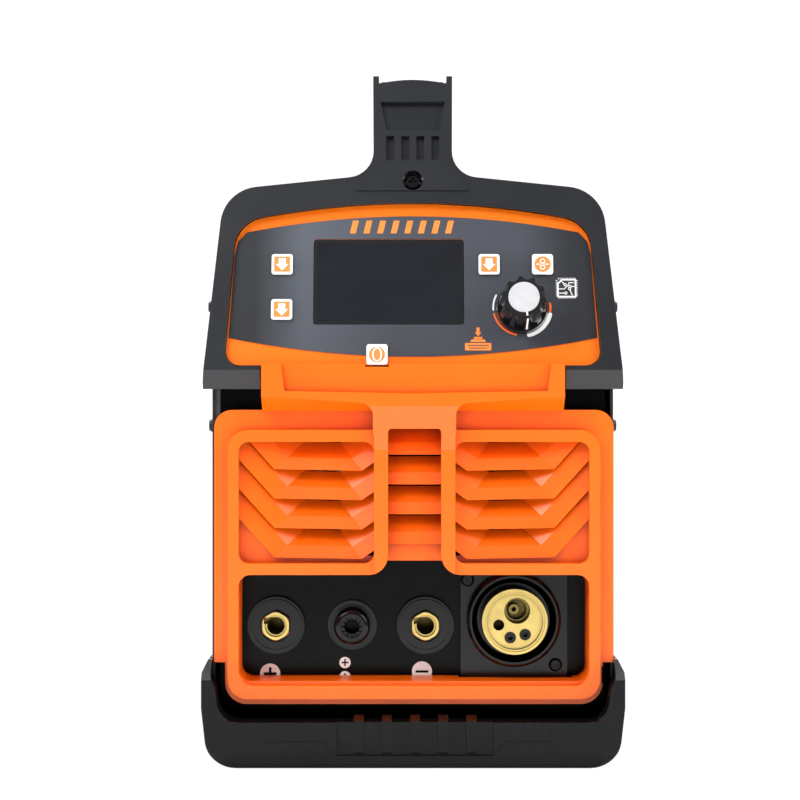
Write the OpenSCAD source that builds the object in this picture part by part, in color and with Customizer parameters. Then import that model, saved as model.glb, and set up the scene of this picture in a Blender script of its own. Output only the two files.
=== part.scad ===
// Compact inverter welder: MIG, TIG and stick outlets at the front, wire feeder behind the side door.
// Millimetres. +Z up, the front faces -Y, the origin is on the floor under the middle of the machine.

/* [Case] */
// Length of the machine, bumper to bumper
body_len = 420; // [400:5:460]
// Half width of the sheet metal cover
cover_hw = 102; // [101:0.5:102]
// Sheet thickness of the cover, door and base
sheet = 1.5; // [1:0.1:1.6]
/* [Control face] */
// Backward tilt of the control face, degrees
tilt = 14; // [12:1:15]
// Diameter of the setting knob
knob_d = 26.4; // [22:0.2:27]
// Side of a push button
button_side = 10.6; // [8:0.1:11]
// Travel of a push button
button_travel = 0.6; // [0.5:0.1:1.2]
/* [Sockets] */
// Height of the outlet centres above the floor
socket_z = 67.5; // [66:0.5:69]
// Diameter of the bore of a cable socket
socket_bore_d = 9; // [8:0.5:10]
// Diameter of the torch socket's brass body
torch_d = 33; // [30:0.5:34]
/* [Wire feed] */
// Outside diameter of the wire spool
spool_d = 190; // [150:5:194]
// Diameter of the drive roll
roll_d = 30; // [26:1:32]

/* [Hidden] */
$fn = 48;

front_y = -body_len / 2;
rear_y = body_len / 2;
// Datum of the tilted control face: its lower front edge
face_y = front_y + 5;
face_z = 192;
// Frontmost plane of each layer of the orange grille
bead_y = front_y + 13;
field_y = front_y + 18;
seat_y = front_y + 32;
panel_y = front_y + 45;
// Outlet positions across the front
positive_x = -70;
gland_x = -31;
negative_x = 6.5;
torch_x = 51.4;
torch_z = 71.2;
// Wire line through the torch socket and the feeder
wire_z = torch_z + 5.3;
roll_y = -90;
spool_y = 76;
spool_z = 152;
spool_x0 = 20;
spool_w = 52;
// Door hinge line, at the foot of the door
hinge_x = 102.6;
hinge_z = 24;
hinge_y = [-85, 95];
door_y0 = -122;
door_y1 = 148;
door_z0 = 26.5;
door_z1 = 262;
// Control face features: [x, height z]
button_at = [[-66, 252.1], [-66, 229.1], [38.5, 252.1], [65.5, 252.1], [-18, 206.3]];
knob_at = [54.8, 229.4];
screen_at = [-12.2, 243.6];

// --- Helpers -------------------------------------------------------------------------------

// A cuboid between two corners
module block(a, b) {
    translate(a) cube(b - a);
}
// A 2D outline in x and z, extruded from y0 back to y1
module slice(y0, y1) {
    translate([0, y1, 0]) rotate([90, 0, 0]) linear_extrude(y1 - y0) children();
}
// A 2D outline in y and z, extruded from x0 to x1
module wall(x0, x1) {
    translate([x0, 0, 0]) rotate([90, 0, 90]) linear_extrude(x1 - x0) children();
}
module y_cyl(r, y0, y1, x, z) {
    translate([x, y1, z]) rotate([90, 0, 0]) cylinder(r = r, h = y1 - y0);
}
module x_cyl(r, x0, x1, y, z) {
    translate([x0, y, z]) rotate([0, 90, 0]) cylinder(r = r, h = x1 - x0);
}
module rounded(w, h, r) {
    square([w - 2 * r, h], center = true);
    square([w, h - 2 * r], center = true);
    for (i = [-1, 1], j = [-1, 1]) translate([i * (w / 2 - r), j * (h / 2 - r)]) circle(r);
}
// A rounded rectangle given by its limits
module rounded_box(x0, x1, z0, z1, r) {
    translate([(x0 + x1) / 2, (z0 + z1) / 2]) rounded(x1 - x0, z1 - z0, r);
}
function arc(c, r, a0, a1, n = 8) =
    [for (i = [0:n]) let (a = a0 + (a1 - a0) * i / n) [c.x + r * cos(a), c.y + r * sin(a)]];
// The right half of an outline, closed by its mirror image
function mirrored(half) =
    concat(half, [for (i = [len(half) - 1:-1:0]) [-half[i].x, half[i].y]]);
// Height on the tilted face to distance along it
function up(z) = (z - face_z) / cos(tilt);
// Children drawn flat, x across and y up the face, +z out of it
module on_face(w = 0) {
    translate([0, face_y, face_z]) rotate([90 - tilt, 0, 0]) translate([0, 0, w]) children();
}
// Everything behind the tilted face, down to y_back
module behind_face(w, y_back, z0, z1) {
    slope = tan(tilt);
    off = w / cos(tilt);
    front = [for (z = [z0, face_z, z1]) [face_y - off + max(0, z - face_z) * slope, z]];
    wall(-120, 120) polygon(concat(front, [[y_back, z1], [y_back, z0]]));
}

// --- Outlines ------------------------------------------------------------------------------

shoulder = arc([77.5, 271.5], 20, 6, 84, 10);
column_fillet = arc([33.5, 309.8], 13.5, 265, 180, 8);
column_top = 349.5;
module bezel_outline(z0) {
    polygon(mirrored(concat([[105.2, z0]], z0 < face_z ? [[105.2, face_z]] : [],
        shoulder, column_fillet, [[20.3, column_top]])));
}
// Space inside the bezel for the control face
function opening_half() = concat(arc([87, 207], 7, -90, 0, 6), arc([73.5, 259], 17, 3, 75, 7),
    [for (x = [70:-10:10]) [x, 283 - 0.00125 * x * x]]);
module opening_outline() {
    polygon(mirrored(opening_half()));
}
// Case section, inset by t from the cover's outside
module case_outline(t, z0) {
    polygon(mirrored(concat([[cover_hw - t, z0], [cover_hw - t, 190]],
        arc([75.5, 269], 19 - t, 6, 84, 8), [[20, 292.5 - t]])));
}

// --- Control head --------------------------------------------------------------------------

module control_bezel() {
    rib_x = [-22.5, -7.5, 7.5, 22.5];
    color("#26272b") difference() {
        union() {
            intersection() {
                slice(front_y, seat_y) bezel_outline(188.5);
                behind_face(0, seat_y, 150, 400);
            }
            // Low shield round the handle screw
            on_face(-1) linear_extrude(1.7) polygon(mirrored(concat([[29, up(289.3)], [24, up(298)]],
                [for (p = arc([15, 297], 7.2, 30, 90, 5)) [p.x, up(p.y)]])));
            // Column that carries the front of the handle
            intersection() {
                slice(seat_y - 5, seat_y + 26) {
                    polygon(mirrored(concat([[30, 296.6]], column_fillet, [[20.3, column_top]])));
                }
                behind_face(0, seat_y + 30, 290, 400);
                wall(-40, 40) polygon([[seat_y - 5, 296], [seat_y + 16, 296], [seat_y + 26, 306],
                    [seat_y + 26, 350], [seat_y - 5, 350]]);
            }
        }
        // Control opening and the hollow behind the rim
        slice(front_y - 10, seat_y + 1) opening_outline();
        intersection() {
            slice(front_y, seat_y + 1) case_outline(5, 180);
            behind_face(-9, seat_y + 1, 150, 291);
        }
        // Gap that the orange bridge fills
        slice(front_y - 10, seat_y + 1) polygon([[-76.5, 180], [76.5, 180], [76.5, 201.5], [-76.5, 201.5]]);
        // Rolled-under lower edge
        wall(-120, 120) polygon([[front_y - 9, 198], [face_y + 1.5, 198], [face_y + 7.5, 188],
            [front_y - 9, 188]]);
        // Scoop, slots and screw seat on the handle column
        on_face(-3.5) linear_extrude(10) {
            polygon([[-16.5, up(336)], [16.5, up(336)], [13.5, up(321)], [-13.5, up(321)]]);
        }
        for (x = rib_x) on_face(-3) linear_extrude(10) translate([x / 1.95 - 2, up(305.5)])
            square([4, 12.8]);
        on_face(-4) translate([0, up(294.5), 0]) cylinder(r = 5.2, h = 10);
        on_face(-30) translate([0, up(294.5), 0]) cylinder(r = 2.1, h = 40);
        // Arched saddle between the two ears at the top
        slice(seat_y - 20, seat_y + 30) saddle();
        // Side screw holes
        for (s = [-1, 1]) side_screw_seat(s);
    }
}

module saddle() {
    polygon(concat([[17.3, column_top + 2], [17.3, 345.8]],
        [for (x = [16:-4:-16]) [x, 347.6 - x * x / 150]],
        [[-17.3, 345.8], [-17.3, column_top + 2]]));
}
module handle_grip() {
    y0 = seat_y + 26;
    grip_z = 326.5;
    color("#1d1e20") difference() {
        union() {
            slice(y0, -y0) rounded_box(-17, 17, grip_z, grip_z + 20.3, 6);
            // Raised rails either side of the palm area
            for (s = [-1, 1]) slice(y0, -y0) rounded_box(s * 14.5 - 2.5, s * 14.5 + 2.5, grip_z + 13,
                grip_z + 21.8, 2);
        }
        // Finger waves under the grip
        for (i = [-3:3]) x_cyl(16, -30, 30, i * 26, grip_z - 13.6);
        // Screw bosses at both ends
        for (s = [-1, 1]) y_cyl(2, s * -y0 - 15, s * -y0 + 15, 0, grip_z + 10);
    }
}

module control_panel() {
    color("#ff7a1c") difference() {
        intersection() {
            slice(front_y - 10, seat_y) opening_shrunk();
            behind_face(-4, seat_y + 20, 150, 400);
            on_face(-7) translate([-120, -40, 0]) cube([240, 160, 10]);
        }
        on_face(-20) translate([screen_at.x, up(screen_at.y), 0]) linear_extrude(30) rounded(76, 45, 1.5);
        for (b = button_at) on_face(-20) translate([b.x, up(b.y), 0]) linear_extrude(30)
            square(8, center = true);
        on_face(-20) translate([knob_at.x, up(knob_at.y), 0]) cylinder(r = 4, h = 30);
    }
}
// The opening with a small running gap all round
module opening_shrunk() {
    g = 0.3;
    polygon(mirrored([for (p = opening_half()) [p.x - g, p.y + (p.y < 230 ? g : -g)]]));
}
label_thick = 0.4;
module label_outline() {
    n = 14;
    low = [for (i = [0:n]) let (x = 92.6 * i / n) [x, 204.7 + 9.5 * pow(x / 92.6, 2)]];
    high = [for (i = [n:-1:0]) let (x = 84 * i / n) [x, 276.3 - 8.3 * pow(x / 84, 2)]];
    polygon(mirrored(concat([for (p = low) if (p.x < 92.5) p],
        [[92.4, 214.2], [90, 257], [88.2, 263.4]], high)));
}
module panel_label() {
    color("#4b4c50") difference() {
        intersection() {
            slice(front_y - 10, seat_y) label_outline();
            on_face(-3.97) translate([-120, -40, 0]) cube([240, 160, label_thick]);
        }
        on_face(-20) translate([screen_at.x, up(screen_at.y), 0]) linear_extrude(30) rounded(76, 45, 1.5);
        for (b = button_at) on_face(-20) translate([b.x, up(b.y), 0]) linear_extrude(30) {
            square(8, center = true);
        }
        on_face(-20) translate([knob_at.x, up(knob_at.y), 0]) cylinder(r = 4, h = 30);
    }
}
module display_window() {
    color("#14161a") on_face(-5.4) translate([screen_at.x, up(screen_at.y), 0]) linear_extrude(1.2) {
        rounded(75.6, 44.6, 1.3);
    }
}
module display_module() {
    color("#2f6b46") on_face(-10.5) translate([screen_at.x, up(screen_at.y), 0]) {
        linear_extrude(3.4) rounded(72, 42, 1);
        translate([0, 0, -2]) linear_extrude(2) square([80, 46], center = true);
    }
}
// Square keycap with a stem that reaches through the panel
module button(i) {
    b = button_at[i];
    color("#f2f2f0") on_face(-3.5 + button_travel) translate([b.x, up(b.y), 0]) {
        linear_extrude(0.9) rounded(button_side, button_side, 1.4);
        translate([0, 0, -8]) linear_extrude(8) square(7.4, center = true);
    }
}
module upper_left_button() { button(0); }
module lower_left_button() { button(1); }
module upper_right_button() { button(2); }
module wire_feed_button() { button(3); }
module lower_button() { button(4); }

knob_h = 21.6;
module setting_knob() {
    color("#101012") on_face(-3) translate([knob_at.x, up(knob_at.y), 0]) difference() {
        union() {
            cylinder(r1 = knob_d / 2, r2 = knob_d / 2 - 0.6, h = 4);
            translate([0, 0, 4]) cylinder(r1 = knob_d / 2 - 1.1, r2 = knob_d / 2 - 2.3, h = knob_h - 4);
        }
        for (a = [0:36:359]) rotate(a + 9) translate([knob_d / 2 + 0.6, 0, 4.5]) {
            rotate([0, -5, 0]) cylinder(r = 3.1, h = knob_h);
        }
        translate([0, 0, knob_h - 1.2]) cylinder(r = 7.8, h = 3);
        translate([0, 0, -1]) cylinder(r = 3.05, h = 18);
    }
}
module knob_cap() {
    color("silver") on_face(-3 + knob_h - 1.2) translate([knob_at.x, up(knob_at.y), 0]) difference() {
        cylinder(r = 7.7, h = 1.6);
        translate([0, 0, 1.4]) cylinder(r = 6.9, h = 1);
    }
}
module knob_encoder() {
    color("#9a9da1") on_face(-18) translate([knob_at.x, up(knob_at.y), 0]) {
        translate([0, 0, 4.5]) linear_extrude(6) square([13, 12], center = true);
        cylinder(r = 3.4, h = 14.4);
        cylinder(r = 3, h = 30);
    }
}
module control_board() {
    color("#1f6b45") difference() {
        union() {
            on_face(-15.5) translate([0, up(238), 0]) linear_extrude(1.6) square([170, 70], center = true);
            // Tact switches under the buttons and a few parts
            for (b = button_at) if (b.y > 210) on_face(-14) translate([b.x, up(b.y), 0]) {
                linear_extrude(2.2) square(6, center = true);
            }
            for (x = [-80, -45, 5, 80]) on_face(-20) translate([x, up(225), 0]) linear_extrude(5)
                square([7, 14]);
        }
        on_face(-30) translate([knob_at.x, up(knob_at.y), 0]) linear_extrude(30)
            square([13.4, 12.4], center = true);
        on_face(-14) translate([screen_at.x, up(screen_at.y), 0]) linear_extrude(10)
            square([81, 47], center = true);
    }
}

// --- Orange front grille -------------------------------------------------------------------

vane_pitch = 14.8;
// Section of one louver: distance up the front against depth
vane_section = [[0, bead_y + 5], [6, bead_y + 7.5], [13.9, seat_y - 5], [13.9, seat_y - 2.5],
    [4.5, bead_y + 10.5], [0, bead_y + 7]];
// Louver section swept along a path [x, z]; rise is each point's shift in [x, z] per mm up the section
module vane(path, rise) {
    n = len(path);
    k = len(vane_section);
    points = [for (i = [0:n - 1], s = vane_section)
        [path[i].x + rise[i].x * s.x, s.y, path[i].y + rise[i].y * s.x]];
    sides = [for (i = [0:n - 2], j = [0:k - 1]) let (j2 = (j + 1) % k)
        [i * k + j, i * k + j2, (i + 1) * k + j2, (i + 1) * k + j]];
    caps = [[for (j = [k - 1:-1:0]) j], [for (j = [0:k - 1]) (n - 1) * k + j]];
    polyhedron(points, concat(sides, caps));
}
module louvers() {
    outer = [1.07, 1];
    inner = [0.81, 1];
    function turn(v) = [-v.x, v.y];
    for (i = [0:3]) let (z = 148.2 - i * vane_pitch) {
        intersection() {
            vane([[-96, z + 29], [-69.8, z], [-25.7, z - 0.8], [-8, z + 11.5]],
                [outer, outer, turn(inner), turn(inner)]);
            block([-88.5, front_y, 95], [-13.5, seat_y, 167]);
        }
        intersection() {
            vane([[8, z + 13], [27.2, z - 0.8], [71.2, z], [97.4, z + 29]],
                [inner, inner, turn(outer), turn(outer)]);
            block([15, front_y, 95], [89.5, seat_y, 167]);
        }
    }
    // Web that closes the corner below the lowest louver
    for (w = [[-88.5, -18.5], [20.2, 89.5]]) slice(bead_y + 7.5, bead_y + 9.5) {
        translate([w[0], 97]) square([w[1] - w[0], 7.5]);
    }
    for (s = [-1, 1]) slice(bead_y + 7.5, bead_y + 9.5) {
        polygon([[s * 89 + 0.7, 96], [s * 89 + 0.7, 126], [s * 69.8 + 0.7, 104.6], [s * 69.8 + 0.7, 96]]);
    }
    for (i = [0:3]) vane([[-15, 155.5 - i * 15], [17, 155.5 - i * 15]], [[0, 1], [0, 1]]);
}
module grille_outline() {
    difference() {
        union() {
            rounded_box(-100, 101, 51, 178, 9);
            rounded_box(-94.5, 95.5, 30, 80, 11);
            translate([-100, 51]) square([201, 20]);
        }
        // Shoulders of the bumper's horns
        for (s = [-1, 1]) translate([s * 100 - 5, 40]) square([10, 9]);
    }
}
module front_grille() {
    windows = [[-87.5, -19.5, 101, 162], [21.2, 88.5, 101, 162], [-12.5, 14.2, 98.5, 168.7]];
    color("#ff6a13") {
        difference() {
            union() {
                slice(field_y, field_y + 3) grille_outline();
                difference() {
                    slice(field_y + 3, seat_y) grille_outline();
                    slice(field_y + 2, seat_y + 1) rounded_box(-97, 98, 33, 175, 7);
                    slice(field_y + 2, seat_y + 1) rounded_box(-91.5, 92.5, 32.8, 80, 9);
                }
                // Underside of the bridge, sloping back to the grille's top edge
                wall(-75.5, 75.5) polygon([[front_y + 3, 184.7], [bead_y + 1, 177.5], [seat_y, 177.5],
                    [seat_y, 186], [front_y + 3, 186]]);
                // Raised bead round the whole grille, and the lips under the louvers
                slice(bead_y, panel_y - 0.5) rounded_box(-93, 94, 33, 168, 10);
                // Bars and bridge that stand out in front of the beads
                intersection() {
                    slice(front_y, seat_y) {
                        translate([-75.5, 184.5]) square([151, 16.5]);
                        polygon([[-75.5, 185], [-25, 181.5], [-12, 181], [14, 181], [27, 181.5],
                            [75.5, 185]]);
                        translate([-20, 100]) square([41.5, 86]);
                        rounded_box(-40, -12.5, 95.3, 120, 10);
                        rounded_box(14.2, 41, 95.3, 120, 10);
                        // Fillets where the bars meet the bridge
                        for (s = [-1, 1]) difference() {
                            translate([s * 24 + 0.7 - 4, 174]) square([8, 9]);
                            translate([s * 28.3 + 0.7, 174]) circle(8);
                        }
                    }
                    wall(-120, 120) polygon([[seat_y, 199.8], [front_y + 10.4, 199.8],
                        [front_y + 10.4, 202],
                        [front_y + 2.5, 202], [front_y + 2.5, 180], [bead_y - 2, 158], [bead_y - 2, 90],
                        [seat_y, 90]]);
                    union() {
                        block([-76, front_y, 184.5], [76, seat_y, 202]);
                        block([-76, front_y, 166], [76, seat_y, 185.5]);
                        block([-19.5, front_y, 95.3], [21.2, seat_y, 167]);
                    }
                }
            }
            for (w = windows) slice(front_y - 5, seat_y + 30) {
                rounded_box(w[0], w[1], w[2], w[3], w[1] - w[0] > 40 ? 5 : 2);
            }
            // Rounded ends of the two lower beads
            slice(front_y - 5, seat_y + 30) for (e = [[-12.5, -1], [14.2, 1]]) translate([e.x, 95.3])
                difference() {
                translate([min(0, e.y * 10), -1]) square([10, 11]);
                translate([e.y * 10, 10]) circle(10);
            }
            // Outlet window below the louvers
            slice(front_y - 5, seat_y + 30) rounded_box(-87.5, 88.5, 41.5, 95.3, 6);
            slice(front_y - 5, bead_y + 4) rounded_box(-86.3, 87.3, 39.6, 60, 6);
            slice(front_y - 5, seat_y + 30) translate([-12.5, 90]) square([26.7, 12]);
            // Everything behind the beads stays hollow above the outlet window
            slice(seat_y, panel_y + 1) translate([-95, 95]) square([190, 80]);
            // Room under the lower key
            block([button_at[4].x - 6, front_y, 199.6], [button_at[4].x + 6, seat_y, 204]);
            // Scoop in the bridge
            slice(front_y - 1, front_y + 6) polygon([[-66, 202], [69, 202], [67, 187.5], [0, 186.3],
                [-64, 187.5]]);
            // Clearance over the torch flange
            block([23.5, seat_y + 4, 36.5], [81.5, panel_y + 2, 50]);
        }
        louvers();
    }
}

// --- Outlets -------------------------------------------------------------------------------

panel_thick = 1.5;
module socket_panel() {
    color("#151517") difference() {
        intersection() {
            slice(panel_y, panel_y + panel_thick) case_outline(3, 16);
            block([-99, panel_y, 16], [99, panel_y + panel_thick, 203]);
        }
        // Air slots behind the louvers
        for (s = [-1, 1], i = [0:6]) block([s * 54 - 30, panel_y - 1, 106 + i * 8],
            [s * 54 + 30, panel_y + 3, 110 + i * 8]);
        for (x = [positive_x, negative_x]) y_cyl(11, panel_y - 1, panel_y + 3, x, socket_z);
        y_cyl(6.5, panel_y - 1, panel_y + 3, gland_x, socket_z);
        y_cyl(17.5, panel_y - 1, panel_y + 3, torch_x, torch_z);
    }
}
// Panel socket for a cable plug: a round insulating body with a recessed face
module cable_socket(x) {
    color("#0c0c0d") difference() {
        union() {
            y_cyl(14.6, panel_y - 5, panel_y, x, socket_z);
            y_cyl(13.4, panel_y - 7, panel_y - 5, x, socket_z);
            y_cyl(10.9, panel_y, panel_y + 18, x, socket_z);
        }
        y_cyl(12.2, panel_y - 8, panel_y - 6, x, socket_z);
        y_cyl(8.4, panel_y - 8, panel_y - 3.5, x, socket_z);
        y_cyl(6.85, panel_y - 8, panel_y + 19, x, socket_z);
    }
}
// Brass contact: hexagonal nose, stepped bore with a half-turn cam ledge
module cable_contact(x) {
    r = socket_bore_d / 2;
    color("#d9b35a") difference() {
        union() {
            intersection() {
                translate([x, panel_y - 3.5, socket_z]) rotate([90, 0, 0]) rotate(30)
                    cylinder(r = 7.8, h = 6, $fn = 6);
                translate([x, panel_y, socket_z]) rotate([90, 0, 0]) cylinder(r1 = 16, r2 = 7, h = 9.5);
            }
            y_cyl(6.8, panel_y, panel_y + 24, x, socket_z);
            y_cyl(5, panel_y + 24, panel_y + 30, x, socket_z);
        }
        y_cyl(r, panel_y - 10, panel_y + 20, x, socket_z);
        y_cyl(r + 1.1, panel_y - 10, panel_y - 7, x, socket_z);
        // Key slot and cam ledge that lock the plug's lug
        block([x - 6, panel_y - 10, socket_z + 1], [x, panel_y - 4, socket_z + 4.4]);
        difference() {
            y_cyl(r + 1.1, panel_y - 4, panel_y - 1, x, socket_z);
            block([x, panel_y - 5, socket_z - 8], [x + 8, panel_y, socket_z + 8]);
        }
    }
}
module positive_socket() { cable_socket(positive_x); }
module positive_contact() { cable_contact(positive_x); }
module negative_socket() { cable_socket(negative_x); }
module negative_contact() { cable_contact(negative_x); }
module lead_gland() {
    nose = 9.2;
    color("#0e0e0f") difference() {
        union() {
            y_cyl(12.6, panel_y - 3, panel_y, gland_x, socket_z);
            y_cyl(10.4, panel_y - 5, panel_y - 3, gland_x, socket_z);
            y_cyl(nose, panel_y - 12, panel_y - 5, gland_x, socket_z);
            translate([gland_x, panel_y - 12, socket_z]) rotate([90, 0, 0]) {
                rotate_extrude() translate([nose - 2.6, 0]) circle(2.6);
                cylinder(r = nose - 2.6, h = 2.6);
            }
            y_cyl(6.4, panel_y, panel_y + 10, gland_x, socket_z);
        }
        y_cyl(3.9, panel_y - 16, panel_y + 11, gland_x, socket_z);
        y_cyl(5.6, panel_y - 16, panel_y - 12.2, gland_x, socket_z);
        // Clamping fingers
        for (a = [0:30:359]) translate([gland_x, panel_y - 8, socket_z]) rotate([90, a, 0]) {
            translate([3.2, -0.4, 0]) cube([2, 0.8, 12]);
        }
    }
}
torch_face_y = panel_y - 26;
torch_screws = [[21.6, 47.6], [-23.4, 91]];
// Signal pins and gas hole, from the torch socket's centre
pin_offsets = [[-2.2, -8.2], [5.3, -6.7]];
gas_offset = [-8, -1.9];
module torch_flange() {
    color("#131315") difference() {
        union() {
            slice(panel_y - 7, panel_y) rounded_box(24.5, 79, 41.2, 95, 2);
            y_cyl(24, panel_y - 15, panel_y - 7, torch_x, torch_z);
            translate([torch_x, panel_y - 15, torch_z]) rotate([90, 0, 0])
                cylinder(r1 = 24, r2 = 22.6, h = 2);
            y_cyl(17, panel_y, panel_y + 10, torch_x, torch_z);
        }
        translate([torch_x, panel_y - 9, torch_z]) rotate([90, 0, 0]) cylinder(r1 = 18.5, r2 = 21.8, h = 9);
        y_cyl(15.05, panel_y - 17, panel_y + 11, torch_x, torch_z);
        for (p = torch_screws) y_cyl(1.8, panel_y - 8, panel_y + 1, torch_x + p.x, p.y);
    }
}
module torch_socket() {
    r = torch_d / 2;
    color("#e0c46a") difference() {
        union() {
            y_cyl(r, torch_face_y, panel_y - 9.5, torch_x, torch_z);
            y_cyl(15, panel_y - 9.5, panel_y + 22, torch_x, torch_z);
            y_cyl(6, panel_y + 22, panel_y + 30, torch_x, wire_z);
        }
        // Dished face inside a stepped rim
        y_cyl(r - 1.3, torch_face_y - 1, torch_face_y + 1, torch_x, torch_z);
        y_cyl(r - 2.3, torch_face_y - 1, torch_face_y + 3.4, torch_x, torch_z);
        y_cyl(6.6, torch_face_y - 1, torch_face_y + 12, torch_x + 1.3, wire_z);
        y_cyl(5.2, torch_face_y, torch_face_y + 19, torch_x + 1.3, wire_z);
        y_cyl(1.2, torch_face_y, panel_y + 31, torch_x, wire_z);
        y_cyl(2.8, torch_face_y - 1, torch_face_y + 16, torch_x + gas_offset.x, torch_z + gas_offset.y);
        for (p = pin_offsets) y_cyl(2.9, torch_face_y - 1, torch_face_y + 14, torch_x + p.x, torch_z + p.y);
        // Thread relief grooves on the outside
        for (i = [0:2]) difference() {
            y_cyl(r + 1, torch_face_y + 4 + i * 3, torch_face_y + 5.2 + i * 3, torch_x, torch_z);
            y_cyl(r - 0.8, torch_face_y, panel_y, torch_x, torch_z);
        }
    }
    // Inner wire nozzle at the bottom of the main bore
    color("#e0c46a") difference() {
        y_cyl(2.6, torch_face_y + 12.4, torch_face_y + 19, torch_x, wire_z);
        y_cyl(1.2, torch_face_y + 10, torch_face_y + 20, torch_x, wire_z);
    }
}
module torch_pins() {
    color("#2a2a2d") for (p = pin_offsets) difference() {
        y_cyl(2.85, torch_face_y + 3, torch_face_y + 14, torch_x + p.x, torch_z + p.y);
        y_cyl(1.3, torch_face_y + 2, torch_face_y + 9, torch_x + p.x, torch_z + p.y);
    }
}

// --- Bumpers and base ----------------------------------------------------------------------

module bumper_outline() {
    polygon(mirrored(concat([[88, 0]], arc([88, 15.5], 15.5, -80, -10, 8), [[105.2, 30], [105.2, 47.5],
        [102.7, 53]])));
}
// One bumper, drawn for the front; the rear one is its mirror image
module bumper() {
    rib_x = [-27, -13, 1, 15, 29];
    difference() {
        intersection() {
            slice(front_y, front_y + 60) bumper_outline();
            // Side view: sloping ledge, chamfered foot, cheeks that run back
            wall(-120, 120) polygon([[front_y + 3, 0], [front_y, 8], [front_y, 44], [front_y + 4, 47.5],
                [front_y + 14, 53], [front_y + 34, 53], [front_y + 60, 22], [front_y + 60, 0]]);
        }
        // Cradle for the case and the grille
        slice(front_y - 1, front_y + 17.5) {
            polygon(mirrored(concat(arc([86.5, 34], 11, -90, -6, 7),
                [[98.4, 40], [100.6, 45], [101.2, 60]])));
        }
        translate([0, front_y + 17.5, 28.3]) rotate([16, 0, 0]) translate([-92, -20, 0])
            cube([184, 30, 30]);
        slice(front_y + 17.4, front_y + 90) {
            polygon([[-102.3, 12], [102.3, 12], [102.3, 60], [-102.3, 60]]);
        }
        // Recessed band behind the ribs
        block([-38, front_y - 1, 6.5], [40, front_y + 2.2, 30]);
        // Relief lines either side of the ribs
        for (s = [0, 1]) mirror([s, 0, 0]) slice(front_y - 1, front_y + 0.5) {
            polygon([[-73, 13.4], [-45.3, 13.4], [-40.3, 7.4], [-37.5, 7.4], [-37.5, 8.4], [-40, 8.4],
                [-45, 14.4], [-73, 14.4]]);
        }
    }
    for (x = rib_x) wall(x - 2.5, x + 2.5) {
        polygon([[front_y + 4, 6.5], [front_y + 0.6, 8], [front_y + 0.6, 23.6], [front_y + 8, 26],
            [front_y + 8, 20]]);
    }
}
module front_bumper() { color("#1f2023") bumper(); }
module rear_bumper() { color("#1f2023") mirror([0, 1, 0]) bumper(); }
foot_at = [[-78, -134], [78, -134], [-78, 134], [78, 134]];
module feet() {
    color("#101010") for (p = foot_at) translate([p.x, p.y, 0]) difference() {
        cylinder(r1 = 11, r2 = 12, h = 12);
        translate([0, 0, -1]) cylinder(r = 5, h = 5);
        translate([0, 0, -1]) cylinder(r = 2.1, h = 20);
    }
}
case_y0 = seat_y;
case_y1 = rear_y - 32;
module base_plate() {
    color("#2b2c2e") difference() {
        union() {
            block([-100, case_y0, 12], [100, case_y1, 12 + sheet]);
            for (s = [-1, 1]) block([s * 99 - (s > 0 ? 0 : 1.5), case_y0, 12],
                [s * 99 + (s > 0 ? 1.5 : 0), case_y1, 22]);
        }
        for (p = foot_at) translate([p.x, p.y, 0]) cylinder(r = 2.1, h = 30);
        // Floor louvers
        for (i = [0:7]) block([-75, -90 + i * 16, 10], [-30, -84 + i * 16, 16]);
    }
}
door_in = 1;
module case_cover() {
    color("#1b1c1e") difference() {
        slice(case_y0, case_y1) case_outline(0, 12);
        slice(case_y0 - 1, case_y1 + 1) case_outline(sheet, 0);
        // Door opening on the right
        block([70, door_y0 - door_in, door_z0 - 1.5], [120, door_y1 + door_in, door_z1 + door_in]);
        // Air slots on the left, two banks
        for (j = [0, 1], i = [0:9]) translate([-cover_hw, -120 + j * 170 + i * 9, 0]) {
            block([-3, 0, 80], [5, 4, 150]);
        }
        // Side screws and the handle's end screws
        for (s = [-1, 1], y = [case_y0 + 8, case_y1 - 8]) x_cyl(2.1, s * 101 - 4, s * 101 + 4, y, 170);
        for (f = [0, 1]) mirror([0, f, 0]) on_face(-30) translate([0, up(294.5), 0])
            cylinder(r = 5.1, h = 40);
        // Slots for the hinge barrels
        for (y = hinge_y) block([98, y - 33, hinge_z - 2.2], [106, y + 33, hinge_z + 3]);
        // Notches the latch tongues snap into
        for (y = latch_y) block([88, y - 5.5, door_z1 - 2], [110, y + 5.5, door_z1 + 5.5]);
    }
}
latch_y = [-90, 120];
module side_door() {
    color("#202123") difference() {
        union() {
            intersection() {
                difference() {
                    slice(door_y0, door_y1) case_outline(0, 0);
                    slice(door_y0 - 1, door_y1 + 1) case_outline(sheet, -1);
                }
                block([60, -300, door_z0], [120, 300, door_z1]);
            }
            // Folded hem round the inside of the door
            intersection() {
                difference() {
                    slice(door_y0 + 2, door_y1 - 2) case_outline(sheet, 0);
                    slice(door_y0 - 1, door_y1 + 1) case_outline(sheet + 6, -1);
                    block([0, door_y0 + 3.2, door_z0 + 3.2], [120, door_y1 - 3.2, door_z1 - 3.2]);
                }
                block([60, -300, door_z0 + 2], [120, 300, door_z1 - 2]);
            }
            // Door knuckles
            for (y = hinge_y) knuckle(y, 20, door_z0, 38);
        }
        // Way through the hem for the latch tongues, and latch windows
        for (y = latch_y) latch_frame(y) translate([-16, -5.2, -4]) cube([14.55, 10.4, 10]);
        for (y = latch_y) block([80, y - 5, door_z1 - 16], [110, y + 5, door_z1 - 3.6]);
        for (y = hinge_y) y_cyl(0.95, y - 30, y + 30, hinge_x, hinge_z);
    }
}
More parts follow.
